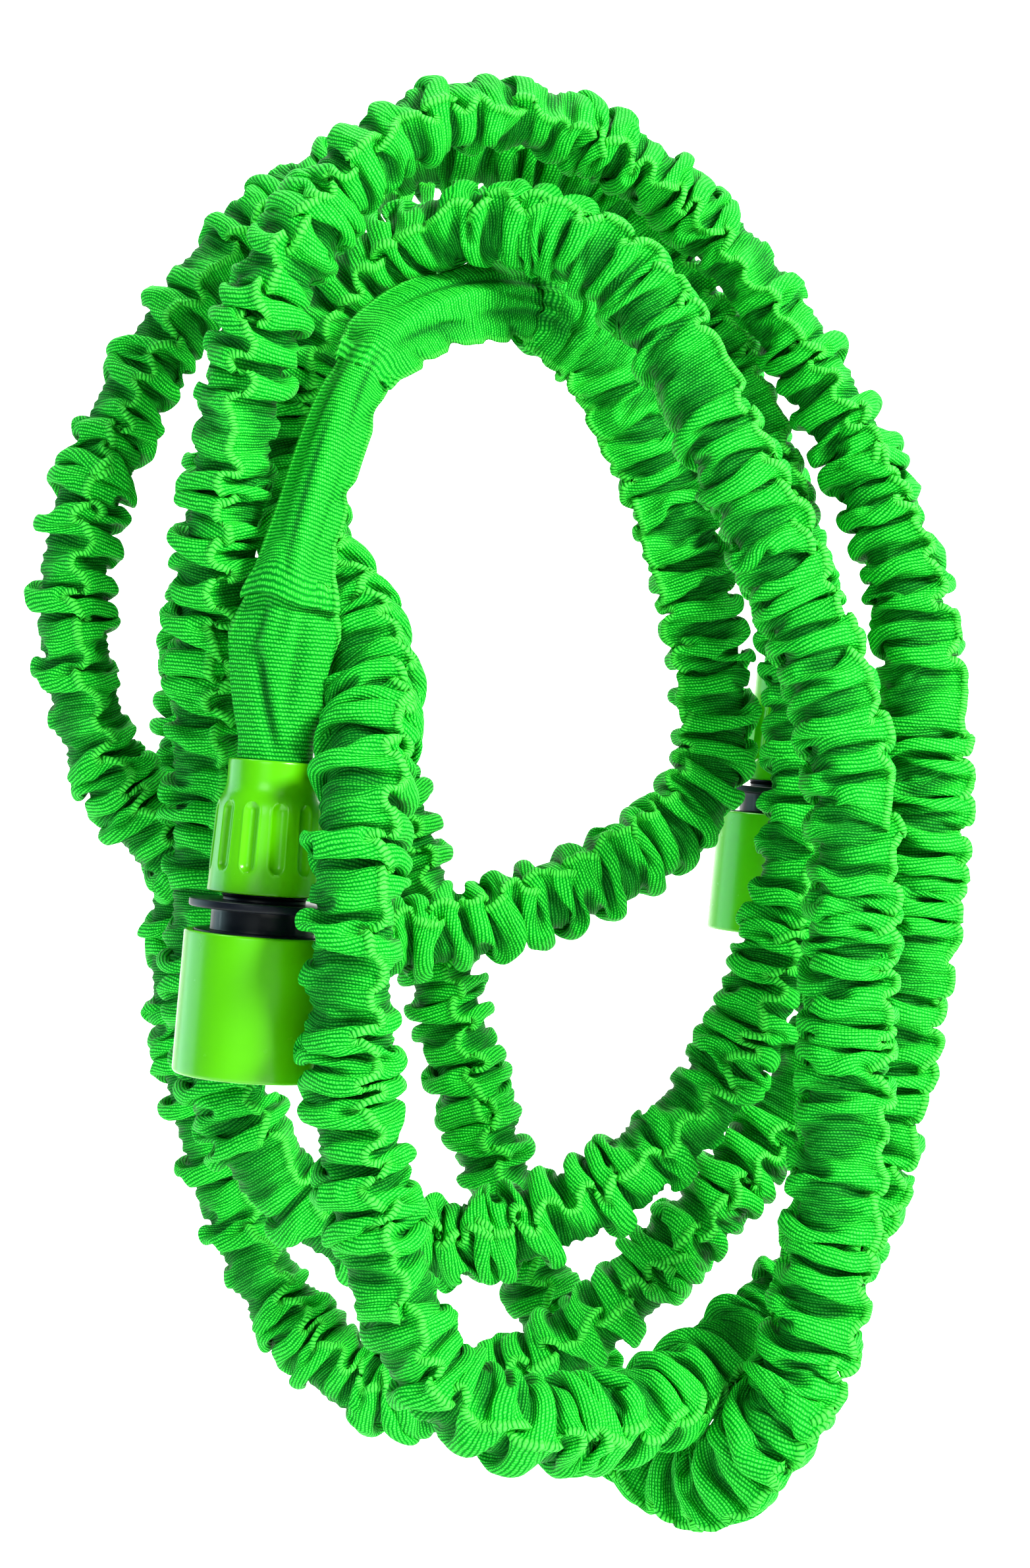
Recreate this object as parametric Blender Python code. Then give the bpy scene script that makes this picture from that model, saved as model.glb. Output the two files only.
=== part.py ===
"""Expandable garden hose, hung up in loops, with a quick connector on each end.

Metres, +Z up.  The origin is the point over which the loops hang.  The front looks along +Y.
Each connector is drawn in its own frame: the origin is the centre of its nut's rim, local +Z
points back along the hose, and a depth is measured down the connector from that rim.
"""
from math import cos, pi, radians, sin

import bmesh
import bpy
from mathutils import Matrix, Vector

# Driving dimensions of the hose.
HOSE_DIAMETER = 0.019          # gathered fabric, over its folds' mean height
FABRIC_THICKNESS = 0.0013      # the gathered webbing, pressed together
CLAMPED_RADIUS = 0.0084        # fabric where a nut clamps it
LATEX_RADIUS = 0.0068
LATEX_WALL = 0.00155
CLAMPED_HEIGHT = 0.0065        # the fabric stays that narrow up to here above a nut's rim
STRAIGHT_END = 0.020           # the hose leaves each nut straight for this long
FABRIC_END_DEPTH = 0.0160      # depth inside the nut at which each layer ends
LATEX_END_DEPTH = 0.0164
HOSE_POINTS = 80
CURVE_STEPS = 12               # points on the smooth curve for each step of the route
BEND_WEIGHT = 0.090            # metres of hose that a bend of one radian counts for

# Where each connector hangs: its rim's centre, and how far its mouth leans towards -X.
CONNECTORS = {
    "left": {"rim": (-0.0486, -0.0600, -0.1068), "lean": 4.4},
    "right": {"rim": (0.0827, 0.0580, -0.0815), "lean": 5.0},
}

# The hose's route from the left nut to the right nut, chosen by hand, in metres.
ROUTE = [
    (-0.042, -0.059, -0.055), (-0.026, -0.045, -0.011), (0.002, -0.023, 0.005),
    (0.026, -0.003, -0.002), (0.046, 0.014, -0.039), (0.058, 0.021, -0.092),
    (0.049, 0.017, -0.121), (0.012, 0.003, -0.142), (-0.035, -0.004, -0.150),
    (-0.074, -0.006, -0.133), (-0.098, -0.011, -0.099), (-0.101, -0.014, -0.051),
    (-0.079, -0.005, 0.002), (-0.047, 0.002, 0.037), (-0.007, 0.001, 0.047),
    (0.030, 0.005, 0.034), (0.058, 0.007, -0.003), (0.074, -0.006, -0.060),
    (0.076, -0.015, -0.123), (0.060, -0.017, -0.178), (0.027, -0.019, -0.211),
    (-0.015, -0.020, -0.224), (-0.045, -0.023, -0.213), (-0.065, -0.027, -0.179),
    (-0.067, -0.030, -0.113), (-0.062, -0.044, -0.050), (-0.050, -0.053, 0.002),
    (-0.024, -0.046, 0.037), (0.007, -0.035, 0.047), (0.044, -0.020, 0.032),
    (0.077, -0.010, -0.006), (0.101, -0.018, -0.061), (0.104, -0.023, -0.117),
    (0.097, -0.016, -0.185), (0.088, -0.010, -0.222), (0.065, -0.020, -0.244),
    (0.035, -0.054, -0.256), (0.005, -0.075, -0.253), (-0.016, -0.079, -0.235),
    (-0.0293, -0.0825, -0.184), (-0.0285, -0.0815, -0.125), (-0.0275, -0.055, -0.086),
    (-0.046, -0.022, -0.048), (-0.047, -0.018, -0.014), (-0.028, -0.025, 0.013),
    (-0.001, -0.034, 0.021), (0.030, -0.042, 0.008), (0.055, -0.051, -0.035),
    (0.081, -0.056, -0.101), (0.082, -0.056, -0.168), (0.075, -0.058, -0.233),
    (0.062, -0.053, -0.264), (0.049, -0.026, -0.279), (0.033, 0.009, -0.276),
    (0.018, 0.026, -0.257), (-0.001, 0.024, -0.206), (-0.023, 0.022, -0.127),
    (-0.050, 0.026, -0.050), (-0.048, 0.027, -0.004), (-0.024, 0.028, 0.026),
    (0.006, 0.028, 0.034), (0.036, 0.032, 0.020), (0.062, 0.034, -0.024),
    (0.089, 0.027, -0.093), (0.093, 0.020, -0.145), (0.075, 0.004, -0.193),
    (0.032, -0.004, -0.241), (-0.007, 0.000, -0.265), (-0.035, 0.008, -0.263),
    (-0.060, 0.016, -0.235), (-0.079, 0.020, -0.175), (-0.078, 0.021, -0.108),
    (-0.072, 0.033, -0.033), (-0.058, 0.044, 0.021), (-0.029, 0.050, 0.052),
    (0.006, 0.054, 0.058), (0.039, 0.057, 0.041), (0.066, 0.058, -0.008),
    (0.080, 0.058, -0.040),
]

# Connector outlines as (radius, depth) in millimetres, each one closed ring.
NUT = [(9.2, 0), (10.5, 0), (10.5, 6.6), (12.3, 10.2), (13.2, 30.2), (10.5, 30.2), (10.5, 9.5), (9.2, 6.5)]
COLLET = [(8.7, 8.0), (9.5, 8.0), (10.15, 10.2), (10.15, 16.6), (8.7, 16.6)]
CORE = [
    (2.9, 4.0), (3.7, 4.0), (4.5, 7.0), (4.0, 7.2), (4.5, 10.2),
    (4.0, 10.4), (4.5, 13.4), (4.0, 13.6), (4.0, 17.0),
    (9.9, 17.0), (9.9, 31.0), (9.4, 31.2), (9.4, 32.0),
    (17.0, 32.0), (17.0, 33.9), (11.85, 33.9), (11.85, 38.9), (15.4, 38.9), (15.4, 41.0),
    (11.6, 41.0), (11.6, 65.7), (10.2, 65.7), (10.2, 67.7), (9.0, 67.7), (8.2, 66.5),
    (8.2, 50.4), (9.5, 50.4), (9.5, 48.0), (8.2, 48.0), (8.2, 46.5), (2.9, 46.5),
]
RETAINING_RING = [(10.5, 66.0), (15.2, 66.0), (15.2, 68.0), (10.5, 68.0)]
RELEASE_SLEEVE = [
    (15.8, 39.2), (17.2, 39.2), (17.6, 39.6), (18.0, 71.0), (17.6, 71.6), (15.6, 71.6),
    (15.6, 65.6), (13.9, 65.6), (13.9, 61.5), (12.1, 57.0), (12.1, 55.5), (15.8, 55.5),
]
CLAW = [
    (8.6, 57.0), (11.3, 57.0), (11.3, 59.0), (10.8, 59.6),
    (10.8, 63.0), (8.9, 63.0), (7.4, 61.5), (7.4, 60.0),
]
SEAL_CENTRE = (8.3, 49.2)
SEAL_SECTION = 0.9
SEAL_SIDES = 8

# Other connector dimensions, in millimetres.
FLUTES = 12
FLUTE_RADIUS = 1.9
FLUTE_DEPTH = 1.0
FLUTE_SPAN = (9.4, 25.4)
COLLET_SLITS = 3               # each saw cut crosses the ring and makes two slits
SLIT_WIDTH = 1.0
SLIT_SPAN = (7.0, 13.4)
BAR_LENGTH = 30                # cutting bars reach right across the collet and the core tube
CLAWS = 4
CLAW_WIDTH = 5.2
WINDOW_WIDTH = 5.8
WINDOW_SPAN = (56.6, 63.4)
SPRING_RADIUS = 13.7
SPRING_WIRE = 0.6
SPRING_SPAN = (41.9, 54.9)
SPRING_TURNS = 5
SPRING_POINTS_PER_TURN = 14

MM = 0.001
UP = Vector((0, 0, 1))


def clear_scene():
    for obj in list(bpy.data.objects):
        bpy.data.objects.remove(obj, do_unlink=True)


def make_material(name, colour, roughness, metallic=0.0):
    material = bpy.data.materials.new(name)
    material.use_nodes = True
    shader = material.node_tree.nodes["Principled BSDF"]
    shader.inputs["Base Color"].default_value = (*colour, 1.0)
    shader.inputs["Roughness"].default_value = roughness
    shader.inputs["Metallic"].default_value = metallic
    return material


def fabric_material():
    return make_material("fabric", (0.03, 0.55, 0.05), 0.85)


def latex_material():
    return make_material("latex", (0.75, 0.66, 0.45), 0.5)


def lime_plastic():
    return make_material("lime_plastic", (0.16, 0.72, 0.01), 0.28)


def black_plastic():
    return make_material("black_plastic", (0.012, 0.014, 0.018), 0.35)


def white_plastic():
    return make_material("white_plastic", (0.80, 0.80, 0.76), 0.4)


def spring_steel():
    return make_material("spring_steel", (0.62, 0.62, 0.64), 0.3, 1.0)


def seal_rubber():
    return make_material("seal_rubber", (0.015, 0.015, 0.015), 0.7)


def place(obj, material, parent=None):
    bpy.context.scene.collection.objects.link(obj)
    obj.data.materials.append(material)
    obj.parent = parent
    return obj


def mesh_object(name, bm, material, parent):
    bmesh.ops.recalc_face_normals(bm, faces=bm.faces)
    mesh = bpy.data.meshes.new(name)
    bm.to_mesh(mesh)
    bm.free()
    mesh.shade_smooth()
    mesh.set_sharp_from_angle(angle=radians(35))
    return place(bpy.data.objects.new(name, mesh), material, parent)


def sweep_rings(bm, rings, closed):
    """Joins equal rings of vertices with quads, and the last ring to the first if closed."""
    count = len(rings[0])
    spans = len(rings) if closed else len(rings) - 1
    for i in range(spans):
        here = rings[i]
        there = rings[(i + 1) % len(rings)]
        for j in range(count):
            k = (j + 1) % count
            bm.faces.new((here[j], here[k], there[k], there[j]))


def turned(name, outline, material, parent, segments=32):
    """A ring turned about local Z from a closed outline of (radius, depth) in millimetres."""
    bm = bmesh.new()
    rings = []
    for i in range(segments):
        turn = 2 * pi * i / segments
        across = Vector((cos(turn), sin(turn), 0))
        rings.append([bm.verts.new(MM * (r * across - depth * UP)) for r, depth in outline])
    sweep_rings(bm, rings, closed=True)
    return mesh_object(name, bm, material, parent)


def cutter(name, bm, target, parent):
    """Cuts bm's closed shapes out of the target."""
    bmesh.ops.recalc_face_normals(bm, faces=bm.faces)
    mesh = bpy.data.meshes.new(name)
    bm.to_mesh(mesh)
    bm.free()
    guide = bpy.data.objects.new(name, mesh)
    bpy.context.scene.collection.objects.link(guide)
    guide.parent = parent
    guide.hide_render = True
    guide.display_type = "WIRE"
    cut = target.modifiers.new("cut", "BOOLEAN")
    cut.operation = "DIFFERENCE"
    cut.solver = "EXACT"
    cut.object = guide


def add_bar(bm, length, width, span, turn):
    """A bar across local Z, turned about it, between two depths; all in millimetres."""
    size = Matrix.Diagonal((length * MM, width * MM, (span[1] - span[0]) * MM, 1))
    middle = Matrix.Translation((0, 0, -(span[0] + span[1]) / 2 * MM))
    bmesh.ops.create_cube(bm, size=1, matrix=Matrix.Rotation(turn, 4, "Z") @ middle @ size)


def add_flute(bm, turn):
    """A capsule along the nut's sloping side, sunk to the flute's depth."""
    top, bottom = FLUTE_SPAN
    half = ((bottom - top) / 2 - FLUTE_RADIUS) * MM
    made = bmesh.ops.create_uvsphere(bm, u_segments=10, v_segments=6, radius=FLUTE_RADIUS * MM)
    for vert in made["verts"]:
        vert.co.z += half if vert.co.z > 0 else -half
    wall_top, wall_bottom = NUT[3], NUT[4]
    slope = (wall_bottom[0] - wall_top[0]) / (wall_bottom[1] - wall_top[1])
    middle = (top + bottom) / 2
    wall = wall_top[0] + slope * (middle - wall_top[1])
    sunk = Matrix.Translation(((wall + FLUTE_RADIUS - FLUTE_DEPTH) * MM, 0, -middle * MM))
    matrix = Matrix.Rotation(turn, 4, "Z") @ sunk @ Matrix.Rotation(-slope, 4, "Y")
    bmesh.ops.transform(bm, matrix=matrix, verts=made["verts"])


def make_nut(side, frame, material):
    nut = turned(f"{side}_nut", NUT, material, frame)
    bm = bmesh.new()
    for i in range(FLUTES):
        add_flute(bm, 2 * pi * i / FLUTES)
    cutter(f"{side}_flute_cutter", bm, nut, frame)


def make_collet(side, frame, material):
    collet = turned(f"{side}_collet", COLLET, material, frame, segments=24)
    bm = bmesh.new()
    for i in range(COLLET_SLITS):
        add_bar(bm, BAR_LENGTH, SLIT_WIDTH, SLIT_SPAN, pi * (i + 0.5) / COLLET_SLITS)
    cutter(f"{side}_slit_cutter", bm, collet, frame)


def make_core(side, frame, material):
    core = turned(f"{side}_core_body", CORE, material, frame)
    bm = bmesh.new()
    for i in range(CLAWS // 2):
        add_bar(bm, BAR_LENGTH, WINDOW_WIDTH, WINDOW_SPAN, pi * i / 2)
    cutter(f"{side}_window_cutter", bm, core, frame)


def make_claw(name, frame, turn, material):
    """One locking claw, its outline in the radial plane given a width across it."""
    bm = bmesh.new()
    rings = []
    for across in (-CLAW_WIDTH / 2, CLAW_WIDTH / 2):
        ring = []
        for r, depth in CLAW:
            point = Matrix.Rotation(turn, 3, "Z") @ Vector((r, across, -depth))
            ring.append(bm.verts.new(point * MM))
        rings.append(ring)
    sweep_rings(bm, rings, closed=False)
    for ring in rings:
        bm.faces.new(ring)
    mesh_object(name, bm, material, frame)


def make_seal(side, frame, material):
    centre, depth = SEAL_CENTRE
    section = []
    for i in range(SEAL_SIDES):
        turn = 2 * pi * i / SEAL_SIDES
        section.append((centre + SEAL_SECTION * cos(turn), depth + SEAL_SECTION * sin(turn)))
    turned(f"{side}_socket_seal", section, material, frame, segments=24)


def make_spring(side, frame, material):
    top, bottom = SPRING_SPAN
    steps = SPRING_TURNS * SPRING_POINTS_PER_TURN
    points = []
    for i in range(steps + 1):
        turn = 2 * pi * i / SPRING_POINTS_PER_TURN
        depth = top + SPRING_WIRE + (bottom - top - 2 * SPRING_WIRE) * i / steps
        points.append(Vector((SPRING_RADIUS * cos(turn), SPRING_RADIUS * sin(turn), -depth)) * MM)
    tube(f"{side}_return_spring", points, SPRING_WIRE * MM, material, frame, resolution=1)


def tube(name, points, radius, material, parent=None, resolution=2):
    """A capped tube along a list of points."""
    curve = bpy.data.curves.new(name, "CURVE")
    curve.dimensions = "3D"
    curve.bevel_depth = radius
    curve.bevel_resolution = resolution
    curve.use_fill_caps = True
    spline = curve.splines.new("POLY")
    spline.points.add(len(points) - 1)
    for spot, point in zip(spline.points, points):
        spot.co = (*point, 1)
    return place(bpy.data.objects.new(name, curve), material, parent)


def hollow(obj, wall):
    """Turns an open-ended tube into a pipe whose wall grows inwards."""
    obj.data.use_fill_caps = False
    shell = obj.modifiers.new("wall", "SOLIDIFY")
    shell.thickness = wall
    shell.offset = -1
    shell.use_rim = True


def connector_matrix(side):
    place_of = CONNECTORS[side]
    return Matrix.Translation(place_of["rim"]) @ Matrix.Rotation(radians(place_of["lean"]), 4, "Y")


def on_axis(side, height):
    """A point on a connector's axis, at a height above its rim."""
    return connector_matrix(side) @ Vector((0, 0, height))


def smooth_curve(knots, steps=CURVE_STEPS):
    """Points along a Catmull-Rom curve through the knots."""
    first = 2 * knots[0] - knots[1]
    last = 2 * knots[-1] - knots[-2]
    padded = [first, *knots, last]
    points = []
    for a, b, c, d in zip(padded, padded[1:], padded[2:], padded[3:]):
        for i in range(steps):
            t = i / steps
            points.append(0.5 * (2 * b + (c - a) * t + (2 * a - 5 * b + 4 * c - d) * t * t
                                 + (3 * b - a - 3 * c + d) * t * t * t))
    points.append(knots[-1])
    return points


def thin_out(points, count):
    """Picks points along a curve, closer together where it bends."""
    travelled = [0.0]
    heading = (points[1] - points[0]).normalized()
    for before, after in zip(points, points[1:]):
        step = after - before
        turned_by = heading.angle(step)
        travelled.append(travelled[-1] + step.length + BEND_WEIGHT * turned_by)
        heading = step
    chosen = []
    j = 0
    for i in range(count):
        target = travelled[-1] * i / (count - 1)
        while j < len(points) - 2 and travelled[j + 1] < target:
            j += 1
        share = (target - travelled[j]) / (travelled[j + 1] - travelled[j])
        chosen.append(points[j].lerp(points[j + 1], share))
    return chosen


def hose_points():
    """The hose's centreline, from one nut's straight stretch to the other's."""
    knots = [on_axis("left", 0), on_axis("left", STRAIGHT_END)]
    knots += [Vector(point) for point in ROUTE]
    knots += [on_axis("right", STRAIGHT_END), on_axis("right", 0)]
    return thin_out(smooth_curve(knots)[CURVE_STEPS:-CURVE_STEPS], HOSE_POINTS - 4)


def make_hose(fabric, latex):
    run = hose_points()
    for name, depth, radius, wall, material in (
        ("fabric_sleeve", FABRIC_END_DEPTH, HOSE_DIAMETER / 2, FABRIC_THICKNESS, fabric),
        ("latex_tube", LATEX_END_DEPTH, LATEX_RADIUS, LATEX_WALL, latex),
    ):
        ends = {side: [on_axis(side, -depth), on_axis(side, CLAMPED_HEIGHT)] for side in CONNECTORS}
        hose = tube(name, [*ends["left"], *run, *reversed(ends["right"])], radius, material)
        if name == "fabric_sleeve":
            spots = hose.data.splines[0].points
            for spot in (*spots[:2], *spots[-2:]):
                spot.radius = CLAMPED_RADIUS / radius
        hollow(hose, wall)


def make_connector(side, materials):
    frame = bpy.data.objects.new(f"{side}_connector", None)
    bpy.context.scene.collection.objects.link(frame)
    frame.matrix_world = connector_matrix(side)
    make_nut(side, frame, materials["lime"])
    make_collet(side, frame, materials["white"])
    make_core(side, frame, materials["black"])
    turned(f"{side}_retaining_ring", RETAINING_RING, materials["black"], frame)
    turned(f"{side}_release_sleeve", RELEASE_SLEEVE, materials["lime"], frame, segments=40)
    make_spring(side, frame, materials["steel"])
    make_seal(side, frame, materials["rubber"])
    for i in range(CLAWS):
        make_claw(f"{side}_claw_{i + 1}", frame, 2 * pi * i / CLAWS, materials["white"])


def main():
    clear_scene()
    make_hose(fabric_material(), latex_material())
    materials = {
        "lime": lime_plastic(),
        "black": black_plastic(),
        "white": white_plastic(),
        "steel": spring_steel(),
        "rubber": seal_rubber(),
    }
    for side in CONNECTORS:
        make_connector(side, materials)


main()
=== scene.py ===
"""The visual model of an expandable garden hose, hung up in loops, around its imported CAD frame.

Sizes are in metres, except in the connectors and in the fabric before it is laid along the hose,
which are in millimetres.  The fabric is gathered by a small cloth solver of the script's own, on a
straight core, and the result is then carried round the hose's route.
"""

from math import cos, pi, radians, sin

import bmesh
import bpy
import numpy as np
from mathutils import Matrix, Vector


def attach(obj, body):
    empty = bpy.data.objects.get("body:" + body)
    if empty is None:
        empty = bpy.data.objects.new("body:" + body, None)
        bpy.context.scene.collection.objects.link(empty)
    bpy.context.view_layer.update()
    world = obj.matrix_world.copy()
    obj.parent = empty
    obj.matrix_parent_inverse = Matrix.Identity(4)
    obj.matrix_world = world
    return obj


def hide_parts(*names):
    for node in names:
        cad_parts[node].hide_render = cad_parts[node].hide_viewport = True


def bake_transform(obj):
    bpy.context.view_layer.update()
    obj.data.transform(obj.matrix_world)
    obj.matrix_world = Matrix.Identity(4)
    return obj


MM = 0.001

# The hose's route from the left nut to the right nut, in metres.
CONNECTORS = {
    "left": {"rim": (-0.0486, -0.0600, -0.1068), "lean": 4.4},
    "right": {"rim": (0.0827, 0.0580, -0.0815), "lean": 5.0},
}
STRAIGHT_END = 0.020
ROUTE = [
    (-0.042, -0.059, -0.055), (-0.026, -0.045, -0.011), (0.002, -0.023, 0.005),
    (0.026, -0.003, -0.002), (0.046, 0.014, -0.039), (0.058, 0.021, -0.092),
    (0.049, 0.017, -0.121), (0.012, 0.003, -0.142), (-0.035, -0.004, -0.150),
    (-0.074, -0.006, -0.133), (-0.098, -0.011, -0.099), (-0.101, -0.014, -0.051),
    (-0.079, -0.005, 0.002), (-0.047, 0.002, 0.037), (-0.007, 0.001, 0.047),
    (0.030, 0.005, 0.034), (0.058, 0.007, -0.003), (0.074, -0.006, -0.060),
    (0.076, -0.015, -0.123), (0.060, -0.017, -0.178), (0.027, -0.019, -0.211),
    (-0.015, -0.020, -0.224), (-0.045, -0.023, -0.213), (-0.065, -0.027, -0.179),
    (-0.067, -0.030, -0.113), (-0.062, -0.044, -0.050), (-0.050, -0.053, 0.002),
    (-0.024, -0.046, 0.037), (0.007, -0.035, 0.047), (0.044, -0.020, 0.032),
    (0.077, -0.010, -0.006), (0.101, -0.018, -0.061), (0.104, -0.023, -0.117),
    (0.097, -0.016, -0.185), (0.088, -0.010, -0.222), (0.065, -0.020, -0.244),
    (0.035, -0.054, -0.256), (0.005, -0.075, -0.253), (-0.016, -0.079, -0.235),
    (-0.0293, -0.0825, -0.184), (-0.0285, -0.0815, -0.125), (-0.0275, -0.055, -0.086),
    (-0.046, -0.022, -0.048), (-0.047, -0.018, -0.014), (-0.028, -0.025, 0.013),
    (-0.001, -0.034, 0.021), (0.030, -0.042, 0.008), (0.055, -0.051, -0.035),
    (0.081, -0.056, -0.101), (0.082, -0.056, -0.168), (0.075, -0.058, -0.233),
    (0.062, -0.053, -0.264), (0.049, -0.026, -0.279), (0.033, 0.009, -0.276),
    (0.018, 0.026, -0.257), (-0.001, 0.024, -0.206), (-0.023, 0.022, -0.127),
    (-0.050, 0.026, -0.050), (-0.048, 0.027, -0.004), (-0.024, 0.028, 0.026),
    (0.006, 0.028, 0.034), (0.036, 0.032, 0.020), (0.062, 0.034, -0.024),
    (0.089, 0.027, -0.093), (0.093, 0.020, -0.145), (0.075, 0.004, -0.193),
    (0.032, -0.004, -0.241), (-0.007, 0.000, -0.265), (-0.035, 0.008, -0.263),
    (-0.060, 0.016, -0.235), (-0.079, 0.020, -0.175), (-0.078, 0.021, -0.108),
    (-0.072, 0.033, -0.033), (-0.058, 0.044, 0.021), (-0.029, 0.050, 0.052),
    (0.006, 0.054, 0.058), (0.039, 0.057, 0.041), (0.066, 0.058, -0.008),
    (0.080, 0.058, -0.040),
]

# Hose sizes in metres.
INSIDE_NUT = 0.020    # how far the route goes on inside each nut
LINE_STEP = 0.001     # between the points of the hose's line
LINE_SOFTNESS = 4     # steps over which its kinks are evened out
FABRIC_DEPTH = 0.013  # the fabric and the latex tube end at these depths inside each nut
LATEX_DEPTH = 0.0164
LATEX_RADIUS = 0.0070
LATEX_POINTS = 700
FABRIC_PIECES = 13

# The fabric before it is laid along the hose, in millimetres.
COLUMNS = 40
GIRTH = 65.0               # round the webbing, flat
SPACING = GIRTH / COLUMNS  # between rows too
GATHER = 2.5               # millimetres of fabric in one millimetre of hose
PATCH_LENGTH = 480.0       # of hose, before the gathers repeat
WAVE = 38.0                # fabric in one fold
WAVE_SPREAD = (0.55, 1.7)  # the least and the greatest share of that in any one fold
WAVE_LEAN = (-5, 6)        # half turns that a ridge may lean by: from, and up to but without
UNEVEN = ((3.5, 5), (1.6, 13), (0.7, 29))  # how far the gathering drifts, and how often in a patch
RIPPLE_WAVES = 60          # in the pattern that the folds start from
RIPPLE_GAIN = 1.3          # makes the pattern this strong
RIPPLE_SHARE = 0.8         # how much of the pattern the cloth starts with
INSET = 0.6                # how much narrower than its girth the cloth starts
CORE_RADIUS = 8.0          # the fabric lies on the latex tube at the bottom of a fold
OUTER_RADIUS = 12.4
EDGE_STAND = 1.2           # how much prouder the webbing's two edges may stand
SQUEEZE_STEPS = 200
SETTLE_STEPS = 12
SWEEPS = 2                 # of the solver in each step
GRIP = 0.15                # how firmly each row is held to its place on the core, per step
LAYER = 1.6                # how near two layers of fabric may come
LAYER_ROWS = range(4, 11)  # how many rows of fabric are between them
LAYER_SHARE = 0.8          # how much of being too near one step puts right
OUTER_SHARE = 0.1          # how much of being too far out one sweep puts right
TINY = 1e-9                # avoids dividing by zero
SEED = 7
BLEND_ROWS = 24            # over which the start of the fabric turns into the even patch

# How stiff the fabric is: the share of an error in its length that one sweep puts right.
STIFF_ALONG = 1.0
STIFF_ROUND = 0.9
STIFF_SLANTING = 0.25
# What it may bend to: rows or columns apart, the least distance in rows or columns, the share.
BENDS_ALONG = ((2, 1.5, 0.35), (3, 2.0, 0.35))
CREST_BEND = (4, 3.1, 0.6)  # where it bends outwards, so that the tops of the folds stay round
BEND_ROUND = (2, 1.7, 0.3)
EDGE_PUSH = 0.15            # millimetres a sweep by which the webbing's edges push outwards
EDGE_COLUMNS = ((0, 1.0), (1, 0.6), (-1, 0.6))  # columns from each edge, and how fully they count


# -------- shared

def add_object(name, data):
    obj = bpy.data.objects.new(name, data)
    bpy.context.scene.collection.objects.link(obj)
    return obj


def grid_faces(rows, columns, closed=False):
    """Faces between the points of a grid that joins up round its columns, and its rows if closed."""
    row = np.arange(rows if closed else rows - 1)[:, None]
    over = (row + 1) % rows
    column = np.arange(columns)[None, :]
    after = (column + 1) % columns
    return np.stack((row * columns + column, row * columns + after,
                     over * columns + after, over * columns + column), -1).reshape(-1, 4)


# -------- the hose's route

def connector_matrix(side):
    """From a connector's own frame, with its rim at 0 and the hose up +Z, to the hose's."""
    place = CONNECTORS[side]
    return Matrix.Translation(place["rim"]) @ Matrix.Rotation(radians(place["lean"]), 4, "Y")


def on_axis(side, height):
    return connector_matrix(side) @ Vector((0, 0, height))


def smooth_curve(knots, steps=24):
    """Points along a Catmull-Rom curve through the knots."""
    padded = np.array([2 * knots[0] - knots[1], *knots, 2 * knots[-1] - knots[-2]])
    t = (np.arange(steps) / steps)[None, :, None]
    a, b, c, d = (padded[i:len(padded) - 3 + i, None] for i in range(4))
    spans = 0.5 * (2 * b + (c - a) * t + (2 * a - 5 * b + 4 * c - d) * t ** 2
                   + (3 * b - a - 3 * c + d) * t ** 3)
    return np.vstack((spans.reshape(-1, 3), knots[-1]))


def distances(line):
    """How far along the line each of its points is."""
    return np.concatenate(([0], np.cumsum(np.linalg.norm(np.diff(line, axis=0), axis=1))))


def even_steps(points, step):
    """The same line, with a point every step."""
    along = distances(points)
    count = int(round(along[-1] / step)) + 1
    at = np.linspace(0, along[-1], count)
    return np.stack([np.interp(at, along, points[:, i]) for i in range(3)], 1)


def soften(points, width):
    """The line with small kinks in its curvature evened out, and its ends left alone."""
    reach = 3 * width
    weights = np.exp(-0.5 * (np.arange(-reach, reach + 1) / width) ** 2)
    weights /= weights.sum()
    before = 2 * points[0] - points[reach:0:-1]
    after = 2 * points[-1] - points[-2:-reach - 2:-1]
    padded = np.vstack((before, points, after))
    return np.stack([np.convolve(padded[:, i], weights, "valid") for i in range(3)], 1)


def hose_line():
    """The hose's centreline, with a point each millimetre, in metres."""
    knots = [on_axis("left", -INSIDE_NUT), on_axis("left", 0), on_axis("left", STRAIGHT_END)]
    knots += [Vector(point) for point in ROUTE]
    knots += [on_axis("right", STRAIGHT_END), on_axis("right", 0), on_axis("right", -INSIDE_NUT)]
    return soften(even_steps(smooth_curve(knots), LINE_STEP), LINE_SOFTNESS)


class Route:
    """A line with a frame carried along it without twist."""

    def __init__(self, line):
        self.line = line
        self.along = distances(line)
        ways = np.gradient(line, axis=0)
        self.ways = ways / np.linalg.norm(ways, axis=1)[:, None]
        side = np.array((1.0, 0.0, 0.0))
        sides = []
        for way in self.ways:
            side = side - way * side.dot(way)
            side = side / np.linalg.norm(side)
            sides.append(side)
        self.sides = np.array(sides)
        self.others = np.cross(self.ways, self.sides)

    def at(self, values, where):
        """Those values, one for each point of the line, at these distances along it."""
        if values.ndim == 1:
            return np.interp(where, self.along, values)
        return np.stack([np.interp(where, self.along, values[:, i]) for i in range(3)], -1)

    def facing(self):
        """The turn from the carried side to the front, -Y, at each point."""
        front = np.array((0.0, -1.0, 0.0))
        return np.unwrap(np.arctan2(self.others @ front, self.sides @ front))


# -------- the cloth solver, over rows by columns of points, wrapped round the X axis

def pull(a, b, rest, share, push_only=False):
    """How far each a moves towards its b, and each b towards its a, to be rest apart."""
    apart = b - a
    length = np.sqrt(np.einsum("ijk,ijk->ij", apart, apart)) + TINY
    change = (length - rest) / length
    if push_only:
        change = np.minimum(change, 0)
    return apart * (0.5 * share * change)[..., None]


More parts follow.
